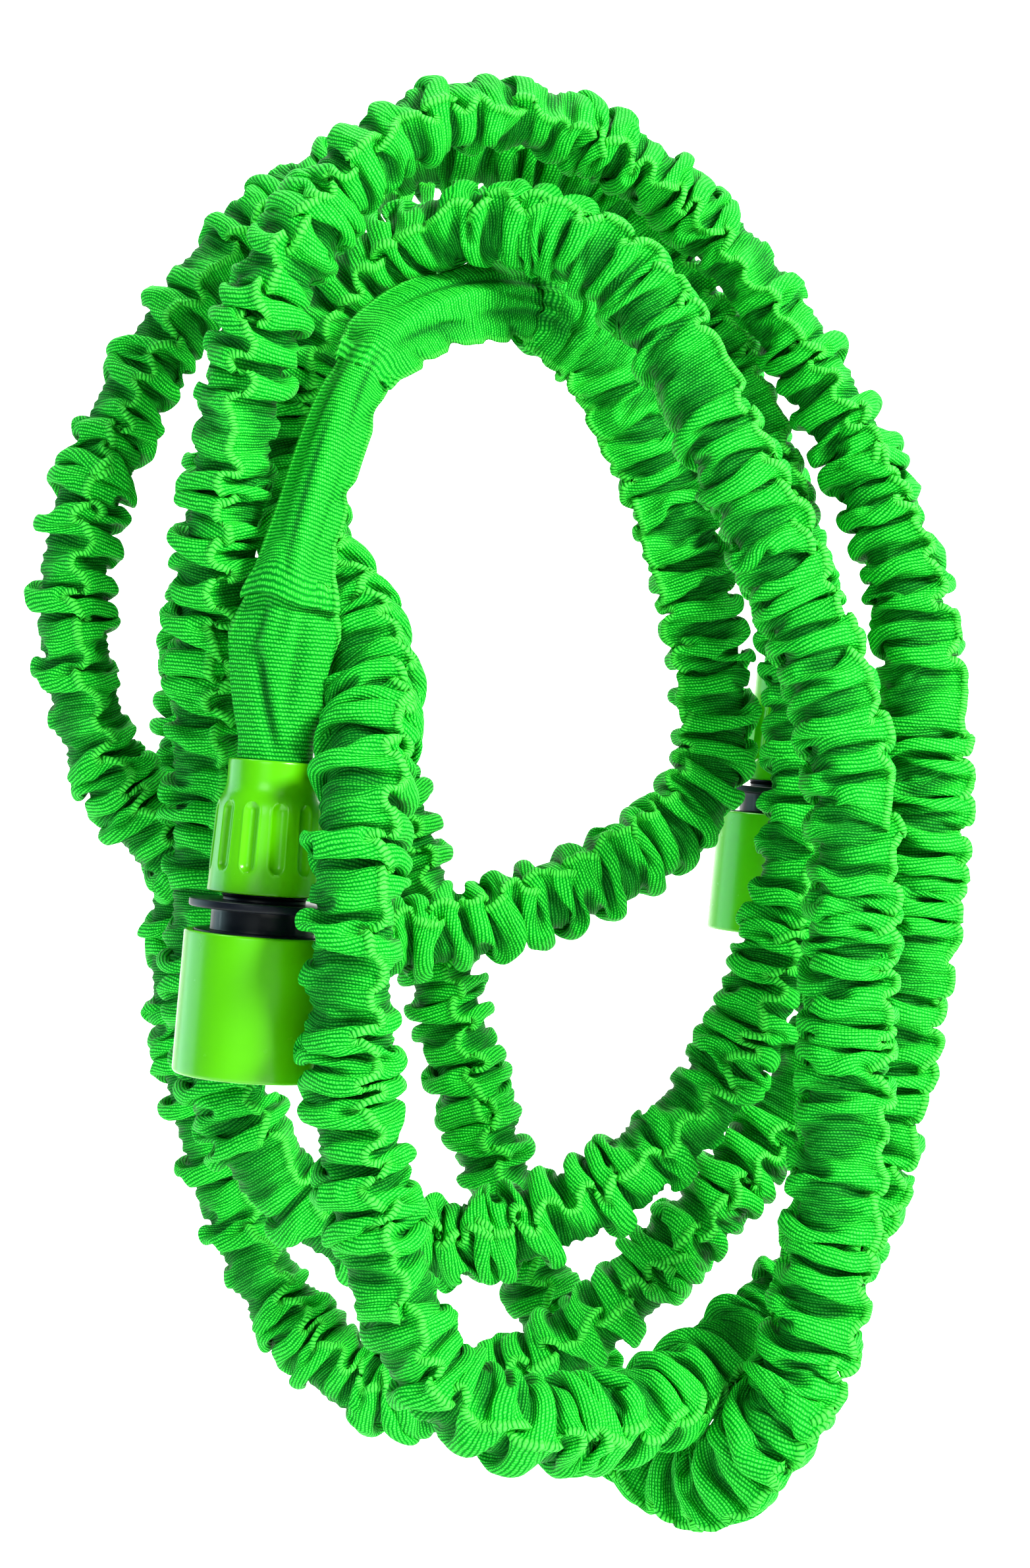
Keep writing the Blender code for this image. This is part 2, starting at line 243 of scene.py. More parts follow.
def rows_on(cloth, count, period):
    """The cloth seen from count rows further on, going round if it repeats after a period."""
    moved = np.roll(cloth, -count, 0)
    moved[-count:, :, 0] += period
    return moved


def give(cloth, change, rows, columns, period):
    """Moves each point by its change, and its partner further on by the opposite."""
    if period == 0:
        change[-rows:] = 0
    cloth += change
    cloth -= np.roll(change, (rows, columns), (0, 1))


def keep_lengths(cloth, spacing, period):
    """Brings the fabric back towards its own length along, round and slantwise."""
    rows, columns = cloth.shape[:2]
    for start in (0, 1):
        near = np.arange(start, rows if period else rows - 1, 2)
        far = (near + 1) % rows
        there = cloth[far]
        there[near + 1 >= rows, :, 0] += period
        change = pull(cloth[near], there, spacing, STIFF_ALONG)
        cloth[near] += change
        cloth[far] -= change
    for start in (0, 1):
        near = np.arange(start, columns, 2)
        far = (near + 1) % columns
        change = pull(cloth[:, near], cloth[:, far], SPACING, STIFF_ROUND)
        cloth[:, near] += change
        cloth[:, far] -= change
    diagonal = (spacing ** 2 + SPACING ** 2) ** 0.5
    for turn in (1, -1):
        partner = np.roll(rows_on(cloth, 1, period), -turn, 1)
        give(cloth, pull(cloth, partner, diagonal, STIFF_SLANTING), 1, turn, period)


def keep_bends(cloth, spacing, period):
    """Stops the fabric from bending too sharply."""
    for count, least, share in BENDS_ALONG:
        partner = rows_on(cloth, count, period)
        give(cloth, pull(cloth, partner, least * spacing, share, True), count, 0, period)
    count, least, share = CREST_BEND
    partner = rows_on(cloth, count, period)
    change = pull(cloth, partner, least * spacing, share, True)
    middle = rows_on(cloth, count // 2, period)[..., 1:]
    chord = (cloth[..., 1:] + partner[..., 1:]) / 2
    change *= ((middle ** 2).sum(-1) > (chord ** 2).sum(-1))[..., None]
    give(cloth, change, count, 0, period)
    count, least, share = BEND_ROUND
    partner = np.roll(cloth, -count, 1)
    give(cloth, pull(cloth, partner, least * SPACING, share, True), 0, count, 1)


def keep_between(cloth, outer, edge):
    """Keeps the fabric off the core, and mostly inside each column's outer radius."""
    radius = np.sqrt(cloth[..., 1] ** 2 + cloth[..., 2] ** 2) + TINY
    inwards = 1 - OUTER_SHARE + OUTER_SHARE * outer / radius
    grow = np.where(radius < CORE_RADIUS, CORE_RADIUS / radius, np.where(radius > outer, inwards, 1))
    grow += edge / radius
    cloth[..., 1:] *= grow[..., None]


def keep_apart(cloth, period):
    """Stops a fold from going through the next one."""
    for count in LAYER_ROWS:
        partner = rows_on(cloth, count, period)
        give(cloth, pull(cloth, partner, LAYER, LAYER_SHARE, True), count, 0, period)


def ripples(rows, spacing, seed):
    """Uneven waves along each face of the webbing, whose ridges split and merge."""
    rng = np.random.default_rng(seed)
    along = 2 * pi * np.arange(rows)[:, None] / rows
    around = 2 * pi * np.arange(COLUMNS)[None, :] / COLUMNS
    height = np.zeros((rows, COLUMNS))
    for face in (1, -1):
        pattern = np.zeros((rows, COLUMNS))
        for _ in range(RIPPLE_WAVES):
            count = round(rows * spacing / (WAVE * rng.uniform(*WAVE_SPREAD)))
            lean = rng.integers(*WAVE_LEAN) / 2
            pattern += np.cos(count * along + lean * around + rng.uniform(0, 2 * pi))
        across = face * np.sin(around)
        height += np.where(across > 0, pattern * np.abs(across) ** 0.5, 0)
    return RIPPLE_GAIN * np.clip(height / (RIPPLE_WAVES / 2) ** 0.5, -2, 2)


def gather(squeezed, spacing, repeats, seed):
    """Squeezes a smooth tube of webbing along its core until row i's middle is at squeezed[i]."""
    rows = len(squeezed)
    around = 2 * pi * np.arange(COLUMNS) / COLUMNS
    radius = GIRTH / (2 * pi) - INSET + RIPPLE_SHARE * ripples(rows, spacing, seed)
    cloth = np.empty((rows, COLUMNS, 3), np.float32)
    cloth[..., 0] = (np.arange(rows) * spacing)[:, None]
    cloth[..., 1] = radius * np.cos(around)
    cloth[..., 2] = radius * np.sin(around)
    outer = np.full(COLUMNS, OUTER_RADIUS, np.float32)
    edge = np.zeros(COLUMNS, np.float32)
    for middle in (0, COLUMNS // 2):
        for off, share in EDGE_COLUMNS:
            outer[(middle + off) % COLUMNS] += EDGE_STAND * share
        edge[middle] = EDGE_PUSH
    smooth = np.arange(rows) * spacing
    steps = ((squeezed - smooth) / SQUEEZE_STEPS).astype(np.float32)[:, None]
    full = rows * spacing
    for i in range(SQUEEZE_STEPS + SETTLE_STEPS):
        if i < SQUEEZE_STEPS:
            cloth[..., 0] += steps
        share = min(1, (i + 1) / SQUEEZE_STEPS)
        meant = smooth + (squeezed - smooth) * share
        cloth[..., 0] += GRIP * (meant - cloth[..., 0].mean(1))[:, None]
        period = full + (PATCH_LENGTH - full) * share if repeats else 0
        for _ in range(SWEEPS):
            keep_lengths(cloth, spacing, period)
            keep_bends(cloth, spacing, period)
            keep_between(cloth, outer, edge)
        keep_apart(cloth, period)
    return cloth


# -------- the fabric along the hose

def gathered_patch():
    """A stretch of evenly gathered fabric that repeats end to end."""
    rows = 2 * round(PATCH_LENGTH * GATHER / SPACING / 2)
    spacing = PATCH_LENGTH * GATHER / rows
    share = np.arange(rows) / rows
    squeezed = share * PATCH_LENGTH
    for drift, times in UNEVEN:
        squeezed += drift * np.sin(2 * pi * times * share + times)
    return gather(squeezed, spacing, True, SEED), spacing


def finer(cloth):
    """Twice the rows and columns, on a smooth surface through about the same shape."""
    rows, columns = cloth.shape[:2]
    tall = np.empty((2 * rows - 1, columns, 3), np.float32)
    tall[1::2] = (cloth[:-1] + cloth[1:]) / 2
    tall[::2] = cloth
    tall[2:-2:2] = 0.75 * cloth[1:-1] + 0.125 * (cloth[:-2] + cloth[2:])
    wide = np.empty((2 * rows - 1, 2 * columns, 3), np.float32)
    right = np.roll(tall, -1, 1)
    wide[:, 1::2] = (tall + right) / 2
    wide[:, ::2] = 0.75 * tall + 0.125 * (right + np.roll(tall, 1, 1))
    return wide


# Where the start of the hose, at the left nut, is gathered less: hose position, gather.
START_GATHER = [(-14, 1.0), (36, 1.02), (36.5, 2.8), (41.5, 2.8), (42, 1.03), (94, 1.03), (94.5, 2.5),
                (98, 2.5), (98.5, 1.12), (150, 1.2), (150.5, 2.6), (154, 2.6), (156, 1.7), (170, 2.0),
                (200, 2.3), (240, GATHER), (400, GATHER)]
SMOOTH_TO = 156.0

# Where it doubles back under itself: hose positions from and to, and how far the top stands out.
OVERLAPS = [(36.5, 41.5, 1.1), (94.5, 98.0, 1.6), (150.5, 154.0, 2.0)]

# Where along the hose the webbing's edges face: (metres along it, degrees from the front).
EDGE_TURNS = [(0.00, 80), (0.17, 75), (0.25, 50), (0.40, 20), (0.60, 10), (0.80, -40), (1.0, 10), (1.1, 30),
              (1.3, 0), (1.45, 10), (1.6, -60), (1.8, 0), (2.0, 40), (2.13, 10), (2.2, -40), (2.45, -45),
              (2.55, 0), (2.8, 30), (2.9, 10), (3.05, -50), (3.3, 20), (3.6, 40), (3.95, 20)]

# The shape of such a flat fold: shares of its fabric, how far along it has got by each, as a share
# of the whole way, and how far it stands out there, as a share of the top layer's.
FOLD_SHARES = (0, 0.36, 0.42, 0.64, 0.70, 1)
FOLD_ALONG = (0, 1, 1, -0.05, -0.05, 1)
FOLD_STAND = (-0.9, -0.9, -0.4, 0.3, 0.9, 0.9)
FOLD_REACH = 7  # rows before and after it that ease into it


def fold_over(cloth, middles, start, end, stand):
    """Lays the extra fabric between two places in a flat fold, the later fabric on top."""
    inside = np.flatnonzero((middles > start) & (middles < end))
    before, after = inside[0] - 1, inside[-1] + 1
    start, end = (cloth[row, :, 0].mean() for row in (before, after))
    share = (np.arange(before, after + 1) - before) / (after - before)
    here = np.interp(share, FOLD_SHARES, FOLD_ALONG) * (end - start)
    lift = np.interp(share, FOLD_SHARES, FOLD_STAND) * stand
    angle = 2 * pi * np.arange(COLUMNS) / COLUMNS
    wander = 1.2 * np.sin(angle + start) + 0.5 * np.sin(3 * angle + 2 * start)  # not quite square
    low = np.hypot(cloth[before, :, 1], cloth[before, :, 2])
    high = np.hypot(cloth[after, :, 1], cloth[after, :, 2])
    for row in range(before - FOLD_REACH, after + FOLD_REACH + 1):
        radius = np.hypot(cloth[row, :, 1], cloth[row, :, 2])
        if row < before:
            near = (1 - (before - row) / (FOLD_REACH + 1)) ** 2
            meant = radius + FOLD_STAND[0] * stand * near
        elif row > after:
            near = (1 - (row - after) / (FOLD_REACH + 1)) ** 2
            meant = radius + FOLD_STAND[-1] * stand * near
        else:
            near = 1
            part = row - before
            cloth[row, :, 0] = start + here[part]
            meant = low + (high - low) * share[part] + lift[part]
        cloth[row, :, 0] += near * wander
        turn = np.arctan2(cloth[row, :, 2], cloth[row, :, 1])
        cloth[row, :, 1] = meant * np.cos(turn)
        cloth[row, :, 2] = meant * np.sin(turn)


def start_patch(spacing):
    """The first stretch at the left nut, which is smooth at first and then gathers."""
    where, ratios = np.array(START_GATHER).T
    step = 0.25
    fine = np.arange(where[0], where[-1], step)
    used = np.concatenate(([0], np.cumsum(np.interp(fine, where, ratios) * step)))[:-1]
    rows = int(used[-1] / spacing)
    squeezed = np.interp(np.arange(rows) * spacing, used, fine)
    cloth = gather(squeezed - squeezed[0], spacing, False, SEED + 1)
    cloth[..., 0] += squeezed[0]
    for start, end, stand in OVERLAPS:
        fold_over(cloth, squeezed, start, end, stand)
    return cloth


# How the raised seam along each edge stands out: columns from the edge, millimetres.
SEAM_HEIGHTS = ((0, 1.2), (1, 0.45), (-1, 0.45))


def raise_edges(cloth):
    """Gives the webbing's two edges a narrow raised seam."""
    columns = cloth.shape[1]
    along = np.gradient(cloth, axis=0)
    for middle in (0, columns // 2):
        for off, height in SEAM_HEIGHTS:
            column = (middle + off) % columns
            across = cloth[:, (column + 1) % columns] - cloth[:, column - 1]
            outward = np.cross(across, along[:, column])
            outward /= np.linalg.norm(outward, axis=1)[:, None] + TINY
            cloth[:, column] += height * outward


def whole_cloth(length):
    """Fabric for the whole hose, as rows by columns, from the left nut's rim at 0."""
    patch, spacing = gathered_patch()
    start = start_patch(spacing)
    shift = start[-BLEND_ROWS:, :, 0].mean() - patch[:BLEND_ROWS, :, 0].mean()
    share = np.linspace(0, 1, BLEND_ROWS)[:, None, None]
    share = share * share * (3 - 2 * share)
    moved = patch.copy()
    moved[..., 0] += shift
    start[-BLEND_ROWS:] += share * (moved[:BLEND_ROWS] - start[-BLEND_ROWS:])
    parts = [start, moved[BLEND_ROWS:]]
    while moved[-1, :, 0].mean() < length + 10:
        moved = moved.copy()
        moved[..., 0] += PATCH_LENGTH
        parts.append(moved)
    cloth = np.concatenate(parts)
    middles = cloth[..., 0].mean(1)
    keep = (middles > -FABRIC_DEPTH / MM) & (middles < length + FABRIC_DEPTH / MM)
    return cloth[keep], spacing


# How wide the fabric may be near a nut: distances outside its rim, and radii, in millimetres.
NECK_AT = (-20, 5.5, 9, 16, 30)
NECK_RADIUS = (8.2, 8.7, 9.6, 11.4, 14.2)

# How thick the hose is along its length, as it is stretched over the top: metres along it, scale.
THICKNESS = [(0.00, 0.92), (0.026, 0.88), (0.036, 0.78), (0.044, 0.60), (0.06, 0.55), (0.097, 0.53),
             (0.104, 0.70), (0.15, 0.76), (0.158, 0.92), (0.20, 0.94), (0.50, 0.94), (0.60, 0.86),
             (0.70, 0.84), (0.80, 0.86), (1.00, 0.98), (1.10, 1.00), (1.18, 1.00), (1.29, 0.99),
             (1.34, 0.84), (1.42, 0.78), (1.50, 0.90), (1.60, 0.94), (1.75, 0.96), (1.87, 0.96),
             (1.92, 1.00), (2.03, 1.00), (2.09, 0.99), (2.12, 0.90), (2.15, 0.88), (2.25, 0.90),
             (2.50, 0.95), (2.70, 0.93), (2.84, 0.96), (2.90, 0.84), (3.05, 0.88), (3.30, 0.92),
             (3.55, 0.90), (3.70, 0.84), (3.90, 0.88)]

# The most that the latex tube fills of its own radius, as it is stretched too, in the same way.
LATEX_THICKNESS = [(0.00, 0.72), (0.165, 0.72), (0.21, 0.92), (0.40, 1.00)]
THINNEST_LATEX = 0.72
FABRIC_ON_LATEX = 0.3  # the least gap between the latex and the fabric's surface

# The smooth stretch is flattened a little: metres along it, width share, thickness share.
FLATNESS = [(0.000, 1.00, 1.00), (0.010, 1.04, 0.94), (0.026, 1.08, 0.92), (0.044, 1.00, 0.96),
            (0.200, 1.00, 1.00)]

# Long soft creases in it, and ridges where the depth is negative: metres from and to, degrees from
# the front at each end, half-width in degrees, depth in millimetres.
CREASES = [
    (0.001, 0.026, 8, -60, 12, 2.6), (0.008, 0.036, 20, 48, 12, 1.6), (0.022, 0.037, -74, -58, 12, 1.2),
    (0.026, 0.037, -20, 10, 12, 0.9),
    (0.041, 0.084, -16, -26, 10, 2.8), (0.041, 0.090, 6, -6, 12, -1.5), (0.076, 0.101, 34, 8, 9, 2.2),
    (0.041, 0.075, 40, 52, 9, 1.4), (0.070, 0.101, -60, -44, 10, 1.8), (0.085, 0.101, -16, -6, 12, -1.2),
    (0.047, 0.056, 62, 96, 13, 0.9), (0.060, 0.068, 60, 98, 13, 1.4), (0.080, 0.092, 62, 98, 13, 1.4),
    (0.101, 0.128, 30, 62, 12, 2.6), (0.110, 0.165, -62, -36, 12, 2.4), (0.128, 0.165, 50, 24, 12, 2.4),
    (0.135, 0.162, -8, 12, 9, 1.8), (0.104, 0.111, 58, 98, 12, 1.2), (0.116, 0.125, 64, 98, 12, 2.0),
    (0.130, 0.137, 70, 100, 12, 1.2), (0.139, 0.148, 60, 98, 12, 2.2), (0.104, 0.150, 4, -12, 14, -1.2),
]


def crease(where, angle):
    """How far the smooth stretch is dented in, in millimetres."""
    dent = np.zeros_like(angle)
    for start, end, first, last, half_width, depth in CREASES:
        share = np.clip((where - start) / (end - start), 0, 1)
        centre = np.radians(first + (last - first) * share)
        off = (angle - centre + pi) % (2 * pi) - pi
        dent += depth * np.abs(np.sin(pi * share)) ** 0.7 * np.exp(-(off / radians(half_width)) ** 2)
    return dent


def read_off(table, where, column=1):
    """What a table's column says at these distances, with straight lines between its rows."""
    columns = np.array(table).T
    return np.interp(where, columns[0], columns[column])


def latex_scale(where):
    """The latex tube's thickness, as a share of its own, at these distances from the left rim."""
    scale = np.minimum(read_off(THICKNESS, where), read_off(LATEX_THICKNESS, where))
    return np.maximum(scale, THINNEST_LATEX)


def lay_along(cloth, route):
    """Carries the straight cloth round the route, and says how deeply each point is creased."""
    where = np.clip(cloth[..., 0] * MM + INSIDE_NUT, 0, route.along[-1])
    outside = where - INSIDE_NUT
    length = route.along[-1] - 2 * INSIDE_NUT
    from_nut = np.minimum(outside, length + INSIDE_NUT - where) / MM
    edge_turn = read_off([(at, radians(turn)) for at, turn in EDGE_TURNS], outside)
    scale = read_off(THICKNESS, outside)
    y = cloth[..., 1] * scale * read_off(FLATNESS, outside)
    z = cloth[..., 2] * scale * read_off(FLATNESS, outside, 2)
    radius = np.hypot(y, z)
    floor = latex_scale(outside) * LATEX_RADIUS / MM + FABRIC_ON_LATEX
    dents = crease(outside, np.arctan2(z, y) + edge_turn)
    dented = np.maximum(radius - dents, floor)
    limit = np.interp(from_nut, NECK_AT, NECK_RADIUS)
    shrink = np.minimum(dented, limit) / radius * MM
    y = y * shrink
    z = z * shrink
    turn = edge_turn + route.at(route.facing(), where)
    side = y * np.cos(turn) - z * np.sin(turn)
    other = y * np.sin(turn) + z * np.cos(turn)
    points = (route.at(route.line, where) + route.at(route.sides, where) * side[..., None]
              + route.at(route.others, where) * other[..., None])
    return points, dents


STRAND_GAP = 0.0003  # left between two strands that touch
SAME_STRAND = 0.045  # nearer than this along the hose, it is the same strand
NEAR_STRAND = 0.027  # further off than this, it can't touch


def settle_contacts(points, route, rows_where):
    """Where two strands of the hose touch, each gives way as far as the plane between them."""
    samples = route.line[::2]
    samples_at = route.along[::2]
    for i, where in enumerate(rows_where):
        centre = np.array([np.interp(where, route.along, route.line[:, k]) for k in range(3)])
        other = (np.abs(samples_at - where) > SAME_STRAND) & (
            ((samples - centre) ** 2).sum(1) < NEAR_STRAND ** 2)
        if not other.any():
            continue
        theirs = samples[other]
        gaps = points[i][:, None] - theirs[None]
        far = np.sqrt((gaps ** 2).sum(-1))
        nearest = far.argmin(1)
        rows = np.arange(len(nearest))
        theirs_away = far[rows, nearest]
        ours = np.sqrt(((points[i] - centre) ** 2).sum(1))
        push = np.maximum(0, ours + STRAND_GAP - theirs_away) / 2
        points[i] += gaps[rows, nearest] * (push / theirs_away)[:, None]


# Painted shade on the fabric: its colour is darker at the bottom of the folds and in the creases, and
# lighter on the ridges; the smooth stretch gets an even painted shade of its own.
SMOOTH_HEIGHT = 0.6  # what the smooth stretch counts as
HEIGHTS_OVER = 40    # millimetres past its end before the folds' own heights count
CREASE_SHADE = 0.28  # how much height a millimetre of crease takes away


def fold_heights(cloth):
    """How far out each point of the straight cloth is, from 0 at the bottom of a fold to 1, which sets the
    painted shade.
    """
    radius = np.hypot(cloth[..., 1], cloth[..., 2])
    height = np.clip((radius - CORE_RADIUS) / (OUTER_RADIUS - CORE_RADIUS), 0, 1)
    gathered = np.clip((cloth[..., 0] - SMOOTH_TO) / HEIGHTS_OVER, 0, 1)
    return SMOOTH_HEIGHT + (height - SMOOTH_HEIGHT) * gathered


def tube_mesh(name, points, heights, uv_start, uv_step):
    """A tube through a grid of points, with its weave coordinates in millimetres."""
    rows, columns = points.shape[:2]
    mesh = bpy.data.meshes.new(name)
    row = np.arange(rows - 1)[:, None]
    column = np.arange(columns)[None, :]
    faces = grid_faces(rows, columns)
    mesh.vertices.add(rows * columns)
    mesh.vertices.foreach_set("co", points.astype(np.float32).ravel())
    mesh.loops.add(faces.size)
    mesh.loops.foreach_set("vertex_index", faces.astype(np.int32).ravel())
    mesh.polygons.add(len(faces))
    mesh.polygons.foreach_set("loop_start", np.arange(0, faces.size, 4, dtype=np.int32))
    mesh.update(calc_edges=True)
    u = np.stack(np.broadcast_arrays(column, column + 1, column + 1, column), -1)
    u = np.broadcast_to(u, (rows - 1, columns, 4)) * (GIRTH / columns)
    v = np.stack(np.broadcast_arrays(row, row, row + 1, row + 1), -1)
    v = uv_start + np.broadcast_to(v, (rows - 1, columns, 4)) * uv_step
    # fold_height sets how much painted shade the webbing's colour gets.
    fold_height = mesh.attributes.new("fold_height", "FLOAT", "POINT")
    fold_height.data.foreach_set("value", heights.astype(np.float32).ravel())
    layer = mesh.uv_layers.new(name="weave")
    layer.data.foreach_set("uv", np.stack((u, v), -1).astype(np.float32).ravel())
    mesh.shade_smooth()
    mesh.validate()
    return add_object(name, mesh)


def make_fabric(material):
    """The fabric in its pieces, and the inner tube in it."""
    line = hose_line()
    route = Route(line)
    length = (route.along[-1] - 2 * INSIDE_NUT) / MM
    cloth, spacing = whole_cloth(length)
    cloth = finer(cloth)
    raise_edges(cloth)
    middles = cloth[..., 0].mean(1) * MM + INSIDE_NUT
    points, dents = lay_along(cloth, route)
    # The painted shade: fold heights, darker where the fabric is creased and lighter on ridges, stored in
    # the mesh as fold_height.
    heights = np.clip(fold_heights(cloth) - CREASE_SHADE * dents, 0, 1)
    settle_contacts(points, route, middles)
    cuts = np.searchsorted(middles, np.linspace(middles[0], middles[-1], FABRIC_PIECES + 1))
    cuts[-1] = len(middles) - 1
    for i in range(FABRIC_PIECES):
        first, last = cuts[i], cuts[i + 1]
        name = f"fabric_sleeve_{i + 1:02d}"
        piece = tube_mesh(name, points[first:last + 1], heights[first:last + 1],
                          first * spacing / 2, spacing / 2)
        piece.data.materials.append(material)
        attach(piece, "hose")
        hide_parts("fabric_sleeve")
    make_latex(route)


def make_latex(route):
    """The inner tube, hidden in the fabric."""
    first = INSIDE_NUT - LATEX_DEPTH
    last = route.along[-1] - INSIDE_NUT + LATEX_DEPTH
    at = np.linspace(first, last, LATEX_POINTS)
    spots = route.at(route.line, at)
    curve = bpy.data.curves.new("latex_inner_tube", "CURVE")
    curve.dimensions = "3D"
    curve.bevel_depth = LATEX_RADIUS
    curve.bevel_resolution = 3
    curve.use_fill_caps = True
    spline = curve.splines.new("POLY")
    spline.points.add(len(spots) - 1)
    scales = latex_scale(at - INSIDE_NUT)
    for spot, place, scale in zip(spline.points, spots, scales):
        spot.co = (*place, 1)
        spot.radius = scale
    tube = add_object("latex_inner_tube", curve)
    curve.materials.append(latex())
    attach(tube, "hose")
    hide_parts("latex_tube")


# -------- connectors

# Outlines as (radius, depth) in millimetres, each one closed ring.
NUT = [(9.2, 0), (10.5, 0), (10.5, 6.6), (12.3, 10.2), (13.2, 30.2), (10.5, 30.2), (10.5, 9.5), (9.2, 6.5)]
CORE = [
    (2.9, 4.0), (3.7, 4.0), (4.5, 7.0), (4.0, 7.2), (4.5, 10.2),
    (4.0, 10.4), (4.5, 13.4), (4.0, 13.6), (4.0, 17.0),
    (9.9, 17.0), (9.9, 31.0), (9.4, 31.2), (9.4, 32.0),
    (17.0, 32.0), (17.0, 33.9), (11.85, 33.9), (11.85, 38.9), (15.4, 38.9), (15.4, 41.0),
    (11.6, 41.0), (11.6, 65.7), (10.2, 65.7), (10.2, 67.7), (9.0, 67.7), (8.2, 66.5),
    (8.2, 50.4), (9.5, 50.4), (9.5, 48.0), (8.2, 48.0), (8.2, 46.5), (2.9, 46.5),
]
RELEASE_SLEEVE = [
    (15.8, 39.2), (17.2, 39.2), (17.6, 39.6), (18.0, 71.0), (17.6, 71.6), (15.6, 71.6),
    (15.6, 65.6), (13.9, 65.6), (13.9, 61.5), (12.1, 57.0), (12.1, 55.5), (15.8, 55.5),
]
# How round each corner is: the usual radius, and the corners that have their own.
NUT_ROUNDING = {"usual": 0.4, (10.5, 6.6): 2.6, (12.3, 10.2): 2.2, (10.5, 0): 0.5, (13.2, 30.2): 0.5}
CORE_ROUNDING = {"usual": 0.25, (17.0, 32.0): 0.5, (17.0, 33.9): 0.6}
SLEEVE_ROUNDING = {"usual": 0.4, (17.2, 39.2): 0.5, (17.6, 39.6): 0.5}
NUT_STEP = 0.45  # between points of the outline, fine enough for its flutes
CORE_STEP = 0.5
SLEEVE_STEP = 2.0
NUT_SEGMENTS = 360
CORE_SEGMENTS = 160
SHARP_ANGLE = 50.0

FLUTES = 12
FLUTE_START = 15.0        # degrees from the front, towards +X
FLUTE_RADIUS = 1.9
FLUTE_DEPTH = 1.0
FLUTE_SPAN = (9.4, 25.4)  # a span is depths from and to
LIP_HEIGHT = 0.10         # the low lip round each flute
LIP_RADIUS = 1.95
LIP_WIDTH = 0.22
NUT_OUTSIDE = 11.2        # the flutes only cut the nut's surface beyond this radius
NUT_SKIRT = 29.5          # and above this depth
THREAD_SPAN = (17.2, 30.9)
THREAD_INSIDE = 9.6       # the thread is on surfaces outside this radius
THREAD_PITCH = 2.0
THREAD_DEPTH = 0.45
CLAWS = 4
WINDOW_WIDTH = 5.8
WINDOW_SPAN = (56.6, 63.4)
CUTTER_LENGTH = 30        # right through the socket tube
NECK_SPAN = (34.2, 38.6)
NECK_RADII = (11, 12.2)   # the pads are on the surface between these
NECK_PADS = 8
PAD_HEIGHT = 0.12
SPRING_RADIUS = 13.7
SPRING_WIRE = 0.6
SPRING_SPAN = (41.9, 54.9)
SPRING_TURNS = 5
SPRING_POINTS_PER_TURN = 40
SPRING_SEGMENTS = 10


def rounded(outline, radii, steps=4):
    """A closed outline with its corners rounded, each by its radius or by the usual one."""
    points = []
    count = len(outline)
    for i, corner in enumerate(outline):
        here = np.array(corner, float)
        before = np.array(outline[i - 1], float) - here
        after = np.array(outline[(i + 1) % count], float) - here
        most = 0.45 * min(np.linalg.norm(before), np.linalg.norm(after))
        reach = min(radii.get(corner, radii["usual"]), most)
        start = here + before / np.linalg.norm(before) * reach
        end = here + after / np.linalg.norm(after) * reach
        for k in range(steps + 1):
            t = k / steps
            points.append((1 - t) ** 2 * start + 2 * t * (1 - t) * here + t * t * end)
    return points


def divided(points, step):
    """The outline with points added so that none are further apart than a step."""
    fine = []
    for here, there in zip(points, points[1:] + points[:1]):
        spans = max(1, int(np.ceil(np.linalg.norm(there - here) / step)))
        fine += [here + (there - here) * k / spans for k in range(spans)]
    return np.array(fine)


def connector_piece(name, side, points, faces):
    """An object from points in the connector's own frame, in millimetres."""
    mesh = bpy.data.meshes.new(name)
    mesh.from_pydata((points.reshape(-1, 3) * MM).tolist(), [], faces)
    bm = bmesh.new()
    bm.from_mesh(mesh)
    bmesh.ops.recalc_face_normals(bm, faces=bm.faces)
    bm.to_mesh(mesh)
    bm.free()
    mesh.shade_smooth()
    mesh.set_sharp_from_angle(angle=radians(SHARP_ANGLE))
    mesh.transform(connector_matrix(side))
    return add_object(name, mesh)


def turned(name, side, outline, segments, shape=None):
    """A ring turned about the connector's axis from a closed outline, with its surface shaped."""
    angles = 2 * pi * np.arange(segments) / segments
    radius, depth = (np.broadcast_to(outline[:, i], (segments, len(outline))).copy() for i in (0, 1))
    turn = np.broadcast_to(angles[:, None], radius.shape)
    if shape:
        radius = radius - shape(radius, depth, turn)
    points = np.stack((radius * np.cos(turn), radius * np.sin(turn), -depth), -1)
    faces = grid_faces(segments, len(outline), closed=True)
    return connector_piece(name, side, points, faces.tolist())


def flutes(radius, depth, turn):
    """How deep the nut's grip flutes are at each point of it."""
    first = radians(FLUTE_START - 90)
    step = 2 * pi / FLUTES
    off = (turn - first + step / 2) % step - step / 2
    top, bottom = FLUTE_SPAN
    beyond = np.maximum(np.maximum(top + FLUTE_RADIUS - depth, depth - bottom + FLUTE_RADIUS), 0)
    away = np.hypot(off * radius, beyond)
    bowl = np.sqrt(np.maximum(FLUTE_RADIUS ** 2 - away ** 2, 0)) - (FLUTE_RADIUS - FLUTE_DEPTH)
    lip = -LIP_HEIGHT * np.exp(-((away - LIP_RADIUS) / LIP_WIDTH) ** 2)
    outside = (radius > NUT_OUTSIDE) & (depth < NUT_SKIRT)
    return np.where(outside, np.maximum(bowl, 0) + lip, 0)


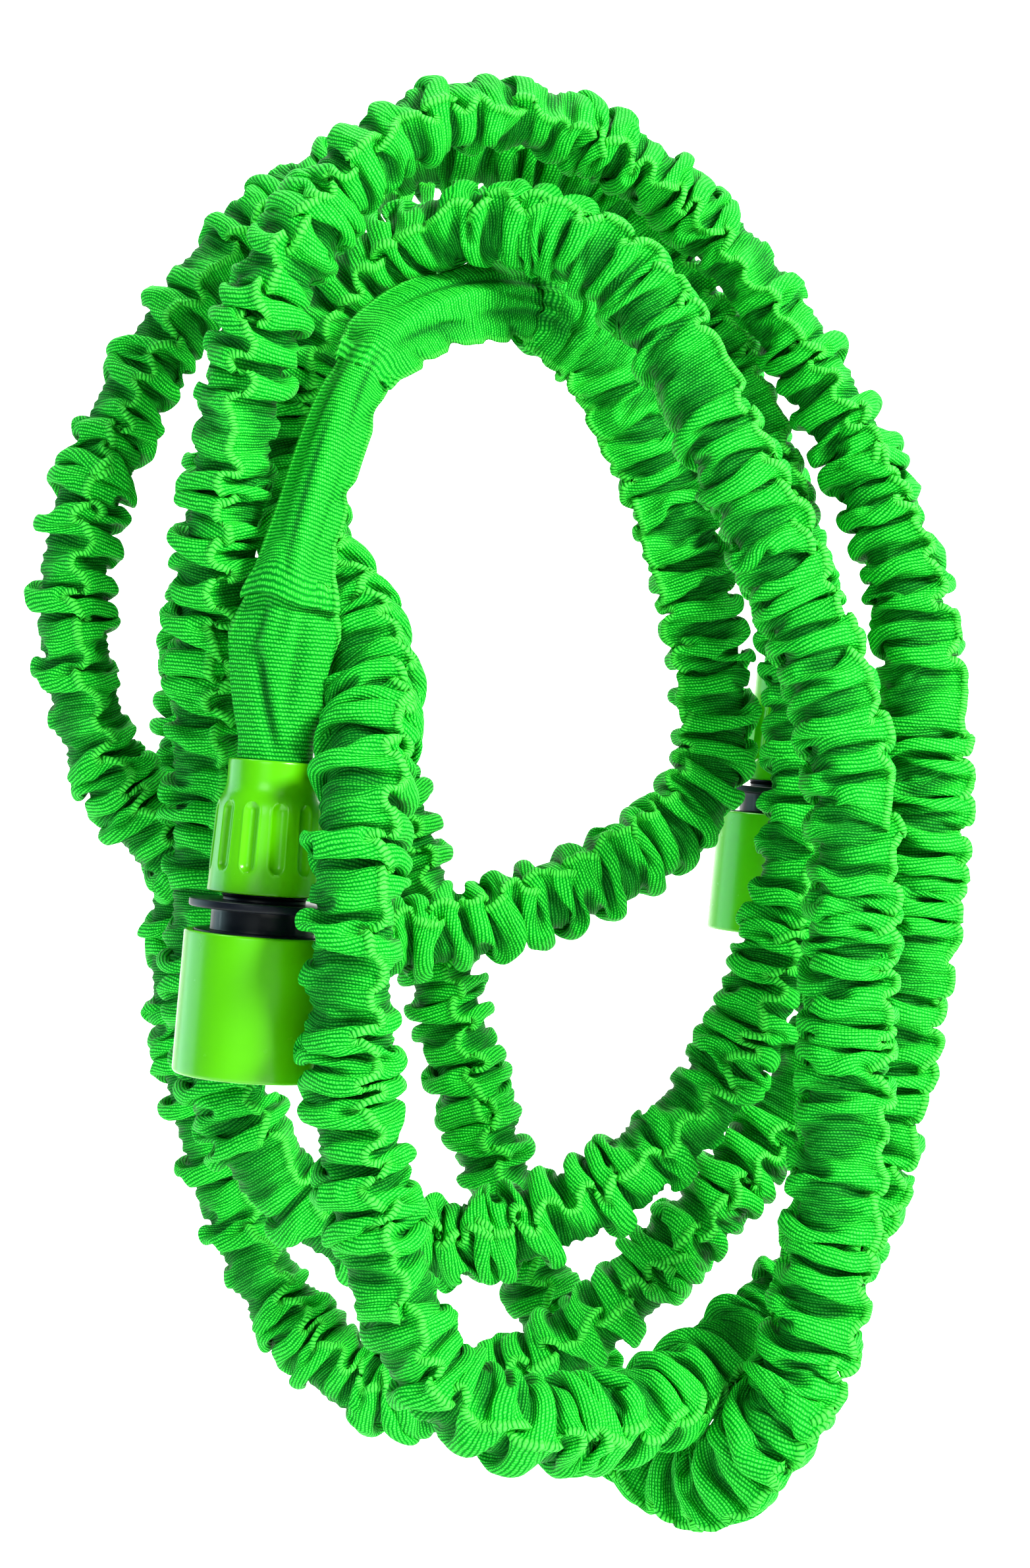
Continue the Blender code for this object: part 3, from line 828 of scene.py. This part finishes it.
def core_details(radius, depth, turn):
    """The core's thread, and the low pads round its neck."""
    phase = depth / THREAD_PITCH - turn / (2 * pi)
    in_thread = (depth > THREAD_SPAN[0]) & (depth < THREAD_SPAN[1]) & (radius > THREAD_INSIDE)
    thread = THREAD_DEPTH * np.abs(2 * (phase % 1) - 1)
    in_neck = (depth > NECK_SPAN[0]) & (depth < NECK_SPAN[1])
    in_neck &= (radius > NECK_RADII[0]) & (radius < NECK_RADII[1])
    pads = PAD_HEIGHT * (np.sin(NECK_PADS * turn / 2) > 0.2)
    return np.where(in_thread, thread, np.where(in_neck, pads, 0))


def cut_windows(core, side):
    """The four slots in the socket tube that the claws come through."""
    bm = bmesh.new()
    top, bottom = WINDOW_SPAN
    size = Matrix.Diagonal((CUTTER_LENGTH * MM, WINDOW_WIDTH * MM, (bottom - top) * MM, 1))
    middle = Matrix.Translation((0, 0, -(top + bottom) / 2 * MM))
    for i in range(CLAWS // 2):
        turn = Matrix.Rotation(pi * i / 2, 4, "Z")
        bmesh.ops.create_cube(bm, size=1, matrix=connector_matrix(side) @ turn @ middle @ size)
    mesh = bpy.data.meshes.new(f"{side}_window_cutter")
    bm.to_mesh(mesh)
    bm.free()
    cutter = add_object(f"{side}_window_cutter", mesh)
    cut = core.modifiers.new("windows", "BOOLEAN")
    cut.object = cutter
    cut.solver = "EXACT"
    bake_modifiers(core)
    bpy.data.objects.remove(cutter)


def bake_modifiers(obj):
    """Puts an object's modifiers into its mesh."""
    depsgraph = bpy.context.evaluated_depsgraph_get()
    mesh = bpy.data.meshes.new_from_object(obj.evaluated_get(depsgraph))
    obj.modifiers.clear()
    obj.data = mesh


def make_spring(side, material):
    """The return spring, as a fixed coil that is not attached to the release sleeve."""
    steps = SPRING_TURNS * SPRING_POINTS_PER_TURN
    turn = 2 * pi * np.arange(steps + 1) / SPRING_POINTS_PER_TURN
    top, bottom = SPRING_SPAN
    depth = np.linspace(top + SPRING_WIRE, bottom - SPRING_WIRE, steps + 1)
    around = 2 * pi * np.arange(SPRING_SEGMENTS) / SPRING_SEGMENTS
    radius = SPRING_RADIUS + SPRING_WIRE * np.cos(around)
    x = np.cos(turn)[:, None] * radius
    y = np.sin(turn)[:, None] * radius
    z = -depth[:, None] + SPRING_WIRE * np.sin(around)
    points = np.stack((x, y, z), -1)
    last = steps * SPRING_SEGMENTS
    caps = [list(range(SPRING_SEGMENTS)), list(range(last, last + SPRING_SEGMENTS))]
    faces = grid_faces(steps + 1, SPRING_SEGMENTS).tolist() + caps
    spring = connector_piece(f"{side}_coil_spring", side, points, faces)
    spring.data.materials.append(material)
    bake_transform(spring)
    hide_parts(f"{side}_return_spring")


def make_connector(side, materials):
    """The pieces of one connector that aren't carried over from the CAD."""
    outline = divided(rounded(NUT, NUT_ROUNDING), NUT_STEP)
    nut = turned(f"{side}_fluted_nut", side, outline, NUT_SEGMENTS, flutes)
    outline = divided(rounded(CORE, CORE_ROUNDING), CORE_STEP)
    core = turned(f"{side}_core", side, outline, CORE_SEGMENTS, core_details)
    cut_windows(core, side)
    outline = divided(rounded(RELEASE_SLEEVE, SLEEVE_ROUNDING), SLEEVE_STEP)
    sleeve = turned(f"{side}_sleeve", side, outline, CORE_SEGMENTS)
    for piece, body, node, slot in (
        (nut, f"{side}_nut", f"{side}_nut", "lime_plastic"),
        (core, "hose", f"{side}_core_body", "black_plastic"),
        (sleeve, f"{side}_sleeve", f"{side}_release_sleeve", "lime_plastic"),
    ):
        piece.data.materials.clear()
        piece.data.materials.append(materials[slot])
        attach(piece, body)
        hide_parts(node)
    make_spring(side, materials["spring_steel"])


# -------- materials

def set_inputs(tree, node, values):
    """Gives a node's inputs the outputs of other nodes, numbers or colours."""
    for key, value in values.items():
        socket = node.inputs[key]
        if hasattr(value, "is_output"):
            tree.links.new(value, socket)
        elif isinstance(value, tuple):
            socket.default_value = (*value, 1)
        else:
            socket.default_value = value


def set_shader(material, values):
    tree = material.node_tree
    set_inputs(tree, tree.nodes["Principled BSDF"], values)


def plain_material(name, colour, roughness, specular=0.5):
    material = bpy.data.materials.new(name)
    material.use_nodes = True
    values = {"Base Color": colour, "Roughness": roughness, "Specular IOR Level": specular}
    set_shader(material, values)
    return material


def compute(tree, operation, *values):
    node = tree.nodes.new("ShaderNodeMath")
    node.operation = operation
    set_inputs(tree, node, dict(enumerate(values)))
    return node.outputs[0]


def ramp(tree, value, low, high, first=0.0, last=1.0):
    """first where the value is below low, last above high, and a straight line between."""
    node = tree.nodes.new("ShaderNodeMapRange")
    limits = {"From Min": low, "From Max": high, "To Min": first, "To Max": last}
    set_inputs(tree, node, {"Value": value, **limits})
    return node.outputs["Result"]


def mix_colours(tree, share, first, second):
    node = tree.nodes.new("ShaderNodeMix")
    node.data_type = "RGBA"
    set_inputs(tree, node, {"Factor": share, 6: first, 7: second})
    return node.outputs[2]


def noise(tree, place, scale, detail=2.0):
    node = tree.nodes.new("ShaderNodeTexNoise")
    set_inputs(tree, node, {"Vector": place, "Scale": scale, "Detail": detail})
    return node.outputs[0]


def bump(tree, height, strength, distance):
    node = tree.nodes.new("ShaderNodeBump")
    set_inputs(tree, node, {"Height": height, "Strength": strength, "Distance": distance})
    return node.outputs[0]


# The webbing's pattern, in millimetres.
RIB_PITCH = 0.92   # the ribs go across the hose
RIB_WOBBLE = 0.7
YARN_PITCH = 0.80  # between the pale yarns on a rib
SEAM_WIDTH = 2.4
SEAM_CORE = 0.5    # this far from the edge the seam is still at its full height
# DEEP_SHADE is painted shade: the share of its colour the fabric keeps at the bottom of a fold.
DEEP_SHADE = 0.3   # how much of its colour the fabric keeps at the bottom of its folds

# Its colours: painted shade in the grooves between the ribs, pale yarns that are partly their own colour
# and partly painted highlight on the floats, the stitches, and the painted shade at the bottom of the
# folds.
SHADE_BETWEEN_RIBS = (0.0, 0.17, 0.012)
ON_RIBS = (0.0, 0.38, 0.012)
YARNS_AND_HIGHLIGHTS = (0.06, 0.88, 0.07)
STITCHES = (0.10, 0.88, 0.09)
# The painted shade's colour, mixed in at the bottom of the folds and in the creases.
FOLD_SHADE_COLOUR = (0.0, 0.02, 0.006)  # at the bottom of the folds


def weave(tree, place, across, along):
    """How much of a rib, and of a pale yarn on it, is at each point of the webbing."""
    wobble = compute(tree, "MULTIPLY", noise(tree, place, 0.8), RIB_WOBBLE)
    ribs = compute(tree, "ADD", compute(tree, "DIVIDE", along, RIB_PITCH), wobble)
    through = compute(tree, "FRACT", ribs)
    odd = compute(tree, "MULTIPLY", compute(tree, "FLOOR", ribs), 0.5)
    slant = compute(tree, "ADD", odd, compute(tree, "MULTIPLY", through, 0.4))
    yarns = compute(tree, "ADD", compute(tree, "DIVIDE", across, YARN_PITCH), slant)
    rib = compute(tree, "SINE", compute(tree, "MULTIPLY", through, pi))
    yarn = compute(tree, "SINE", compute(tree, "MULTIPLY", compute(tree, "FRACT", yarns), pi))
    crest = ramp(tree, rib, 0.55, 0.90)
    return rib, compute(tree, "MULTIPLY", crest, ramp(tree, yarn, 0.30, 0.70))


def edge_seam(tree, across):
    """1 on the webbing's two edges and 0 away from them."""
    half = GIRTH / 2
    halves = compute(tree, "ADD", compute(tree, "DIVIDE", across, half), 0.5)
    off = compute(tree, "SUBTRACT", compute(tree, "FRACT", halves), 0.5)
    from_edge = compute(tree, "MULTIPLY", compute(tree, "ABSOLUTE", off), half)
    return compute(tree, "SUBTRACT", 1.0, ramp(tree, from_edge, SEAM_CORE, SEAM_WIDTH / 2))


def fold_shade(tree):
    """How much of its colour the fabric keeps under the painted shade in its folds and creases, from the
    depth stored in its mesh.
    """
    fold_height = tree.nodes.new("ShaderNodeAttribute")
    fold_height.attribute_name = "fold_height"
    shown = ramp(tree, fold_height.outputs["Fac"], 0.0, 0.75)
    return compute(tree, "ADD", compute(tree, "MULTIPLY", shown, 1 - DEEP_SHADE), DEEP_SHADE)


def webbing():
    """Ribbed webbing, with painted shade between its ribs, crossed by short pale yarns with painted
    highlights, with stitched edges, and painted shade in its folds and creases.
    """
    material = plain_material("webbing", (0.02, 0.5, 0.04), 0.6, 0.04)
    tree = material.node_tree
    uv = tree.nodes.new("ShaderNodeUVMap")
    uv.uv_map = "weave"
    place = uv.outputs[0]
    split = tree.nodes.new("ShaderNodeSeparateXYZ")
    tree.links.new(place, split.inputs[0])
    across, along = split.outputs[:2]
    rib, yarn = weave(tree, place, across, along)
    seam = edge_seam(tree, across)
    patchy = ramp(tree, noise(tree, place, 0.9), 0.15, 0.55)
    # Painted shade between the ribs, then the yarns, whose paleness is partly painted highlight on the
    # floats.
    woven = mix_colours(tree, rib, SHADE_BETWEEN_RIBS, ON_RIBS)
    woven = mix_colours(tree, compute(tree, "MULTIPLY", yarn, patchy), woven, YARNS_AND_HIGHLIGHTS)
    stitched = compute(tree, "MULTIPLY", seam, ramp(tree, rib, 0.2, 0.8))
    colour = mix_colours(tree, compute(tree, "MULTIPLY", stitched, 0.55), woven, STITCHES)
    # Painted shade in the folds and creases, from the mesh's fold_height.
    shaded = mix_colours(tree, fold_shade(tree), FOLD_SHADE_COLOUR, colour)
    relief = compute(tree, "MULTIPLY", rib, 0.6)
    for part, share in ((yarn, 0.4), (seam, 1.5)):
        relief = compute(tree, "ADD", relief, compute(tree, "MULTIPLY", part, share))
    set_shader(material, {"Base Color": shaded, "Normal": bump(tree, relief, 0.7, 0.0003)})
    return material


def moulded(name, colour, roughness, grain, specular=0.5):
    """A moulded or drawn surface: a fine grain, and slightly uneven gloss."""
    material = plain_material(name, colour, roughness, specular)
    tree = material.node_tree
    place = tree.nodes.new("ShaderNodeTexCoord").outputs["Object"]
    gloss = ramp(tree, noise(tree, place, 260.0, 4.0), 0.0, 1.0, roughness * 0.9, roughness * 1.12)
    fine = bump(tree, noise(tree, place, 2500.0), grain, 0.00004)
    set_shader(material, {"Roughness": gloss, "Normal": fine})
    return material


def lime_plastic():
    material = moulded("lime_plastic", (0.075, 0.42, 0.0), 0.26, 0.12, 0.35)
    set_shader(material, {"Coat Weight": 0.10, "Coat Roughness": 0.12})
    return material


def spring_steel():
    material = moulded("spring_steel", (0.62, 0.62, 0.64), 0.3, 0.1)
    set_shader(material, {"Metallic": 1.0})
    return material


def latex():
    return moulded("latex", (0.75, 0.66, 0.45), 0.5, 0.1)


def connector_materials():
    """The materials of all the connectors' pieces, by slot."""
    return {
        "lime_plastic": lime_plastic(),
        "black_plastic": moulded("black_plastic", (0.003, 0.004, 0.009), 0.36, 0.3, 0.18),
        "white_plastic": moulded("white_plastic", (0.80, 0.80, 0.76), 0.4, 0.1),
        "spring_steel": spring_steel(),
        "seal_rubber": moulded("seal_rubber", (0.015, 0.015, 0.015), 0.7, 0.5),
    }


# Which of the nodes carried over from the CAD aren't white plastic.
CARRIED_SLOTS = {
    "return_spring": "spring_steel",
    "socket_seal": "seal_rubber",
    "retaining_ring": "black_plastic",
}


# -------- surroundings

def add_light(name, place, target, power, size, colour):
    """A square light at a place, facing a target."""
    lamp = bpy.data.lights.new(name, "AREA")
    lamp.energy = power
    lamp.size = size
    lamp.color = colour
    obj = add_object(name, lamp)
    obj.location = place
    obj.rotation_euler = (Vector(target) - Vector(place)).to_track_quat("-Z", "Y").to_euler()


# The backdrop, in metres.
FLOOR_HEIGHT = -0.42
FLOOR_FRONT = -3.0
FLOOR_BACK = 1.2  # where it starts to curve up
BEND_RADIUS = 0.8
BEND_STEPS = 12
WALL_TOP = 3.0
WALL_HALF_WIDTH = 4


def make_backdrop():
    """A pale floor that curves up into a wall behind the object."""
    outline = [(FLOOR_FRONT, FLOOR_HEIGHT)]
    for i in range(BEND_STEPS + 1):
        turn = pi / 2 * i / BEND_STEPS
        back = FLOOR_BACK + BEND_RADIUS * sin(turn)
        outline.append((back, FLOOR_HEIGHT + BEND_RADIUS * (1 - cos(turn))))
    outline.append((FLOOR_BACK + BEND_RADIUS, WALL_TOP))
    bm = bmesh.new()
    left = [bm.verts.new((-WALL_HALF_WIDTH, y, z)) for y, z in outline]
    right = [bm.verts.new((WALL_HALF_WIDTH, y, z)) for y, z in outline]
    for i in range(len(outline) - 1):
        bm.faces.new((left[i], right[i], right[i + 1], left[i + 1]))
    mesh = bpy.data.meshes.new("backdrop")
    bm.to_mesh(mesh)
    bm.free()
    mesh.shade_smooth()
    mesh.materials.append(plain_material("backdrop", (0.9, 0.9, 0.9), 0.9))
    obj = add_object("backdrop", mesh)


CAMERA_PLACE = (0.006, -0.637, -0.112)
SENSOR_HEIGHT = 24  # this and the lens are in millimetres
LENS = 38.82353


def make_camera():
    """A camera in front of the hose, level, looking along +Y."""
    camera = bpy.data.cameras.new("camera")
    camera.sensor_fit = "VERTICAL"
    camera.sensor_height = SENSOR_HEIGHT
    camera.lens = LENS
    camera.clip_end = 20
    obj = add_object("camera", camera)
    obj.location = CAMERA_PLACE
    obj.rotation_euler = (pi / 2, 0, 0)
    bpy.context.scene.camera = obj


# The lights: name, place, target, watts, side of its square, colour.
MIDDLE = (0, 0, -0.1)
COOL = (0.6, 0.95, 1.0)
LIGHTS = [
    ("key", (0.95, -0.95, 0.55), MIDDLE, 54, 0.45, (1.0, 1.0, 0.85)),
    ("front", (-0.35, -1.2, 0.25), MIDDLE, 4, 0.5, (0.9, 1.0, 0.9)),
    ("left softbox", (-1.0, 0.25, 0.0), MIDDLE, 6, 0.8, COOL),
    ("right softbox", (1.0, 0.45, 0.1), MIDDLE, 4, 0.7, COOL),
    ("wall wash", (0.0, 0.6, 1.6), (0, 2.0, 0.2), 120, 1.5, (1, 1, 1)),
]
SKY = (0.3, 0.75, 1.0)
SKY_STRENGTH = 0.13


def make_light():
    world = bpy.data.worlds.new("studio")
    world.use_nodes = True
    tree = world.node_tree
    set_inputs(tree, tree.nodes["Background"], {"Color": SKY, "Strength": SKY_STRENGTH})
    bpy.context.scene.world = world
    bpy.context.scene.view_settings.view_transform = "Standard"
    for light in LIGHTS:
        add_light(*light)


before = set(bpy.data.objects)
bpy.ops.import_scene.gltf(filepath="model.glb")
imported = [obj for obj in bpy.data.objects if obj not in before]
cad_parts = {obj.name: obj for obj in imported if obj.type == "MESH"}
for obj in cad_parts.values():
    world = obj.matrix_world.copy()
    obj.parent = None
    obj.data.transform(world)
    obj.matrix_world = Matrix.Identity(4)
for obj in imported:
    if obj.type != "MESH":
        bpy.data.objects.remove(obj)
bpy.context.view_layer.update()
make_camera()
make_light()
make_backdrop()
make_fabric(webbing())

looks = connector_materials()
for side in CONNECTORS:
    make_connector(side, looks)
for name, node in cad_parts.items():
    part = name.split("_", 1)[1]
    node.data.materials.clear()
    node.data.materials.append(looks[CARRIED_SLOTS.get(part, "white_plastic")])
